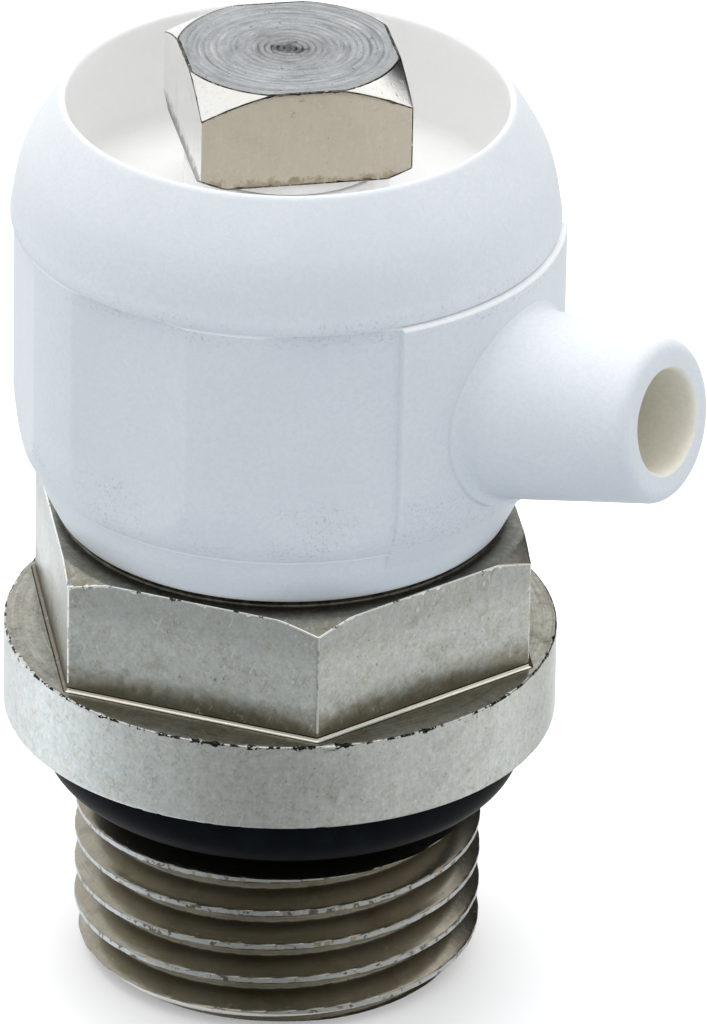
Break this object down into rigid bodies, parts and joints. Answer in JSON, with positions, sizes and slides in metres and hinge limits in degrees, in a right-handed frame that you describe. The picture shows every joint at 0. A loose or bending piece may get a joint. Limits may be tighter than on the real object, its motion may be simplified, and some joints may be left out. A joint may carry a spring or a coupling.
{
  "type": "automatic air vent",
  "caption": "Compact automatic air vent with a G 1/8 threaded inlet, hexagon collar, swivelling white housing with drain spout, and a square-headed vent screw.",
  "frame": {"origin": "on the body's axis at the sealing underside of the collar", "axes": "+Z along the axis from the threaded inlet up to the square head, +X along the drain spout's heading at rest"},
  "size_m": [0.0174, 0.0132, 0.0237],
  "materials": {
    "nickel_body": "nickel-plated brass, satin turned and milled, small nicks on the edges",
    "nickel_screw": "nickel-plated brass, bright, lathe rings on top",
    "white_plastic": "white moulded plastic, fine matte grain",
    "black_rubber": "black elastomer, satin",
    "spring_steel": "stainless spring steel",
    "white_washer": "white sliding washer",
    "plain_brass": "bare turned brass",
    "valve_plastic": "natural acetal",
    "steel_mesh": "etched stainless sheet",
    "felt": "fine fibre pad",
    "swelling_fibre": "brown vulcanised fibre"
  },
  "bodies": {
    "valve_body": {"check_valve_guide": "plain_brass", "check_valve_seat": "plain_brass", "check_valve_spring": "spring_steel", "disc_carrier": "plain_brass", "disc_top_plate": "plain_brass", "filter_pad": "felt", "guide_retaining_ring": "spring_steel", "housing_snap_ring": "spring_steel", "inlet_retaining_ring": "spring_steel", "inlet_strainer": "steel_mesh", "lower_housing_seal": "black_rubber", "swelling_disc_1": "swelling_fibre", "swelling_disc_2": "swelling_fibre", "swelling_disc_3": "swelling_fibre", "swelling_disc_4": "swelling_fibre", "swelling_disc_5": "swelling_fibre", "swelling_disc_6": "swelling_fibre", "thread_seal_ring": "black_rubber", "upper_housing_seal": "black_rubber", "valve_body": "nickel_body"},
    "spout_housing": {"spout_housing": "white_plastic"},
    "stem_seal": {"stem_seal_ring": "black_rubber"},
    "vent_screw": {"vent_screw": "nickel_screw", "seat_seal": "black_rubber", "head_washer": "white_washer"},
    "check_valve": {"check_valve_plunger": "valve_plastic", "check_valve_seal": "black_rubber"}
  },
  "joints": [
    {"name": "spout_swivel", "type": "hinge", "parent": "valve_body", "child": "spout_housing", "pos_m": [0, 0, 0.0098], "axis": [0, 0, 1], "continuous": true},
    {"name": "screw_turn", "type": "hinge", "parent": "stem_seal", "child": "vent_screw", "pos_m": [0, 0, 0.0118], "axis": [0, 0, 1], "range_deg": [0, 450]},
    {"name": "screw_lift", "type": "slide", "parent": "valve_body", "child": "stem_seal", "axis": [0, 0, 1], "range_m": [0, 0.000875]},
    {"name": "check_valve_lift", "type": "slide", "parent": "valve_body", "child": "check_valve", "axis": [0, 0, 1], "range_m": [0, 0.00045], "deforming": ["check_valve_spring"]}
  ],
  "couplings": [
    {"joint": "screw_turn", "follows": "screw_lift", "rad_per_m": 8976}
  ]
}
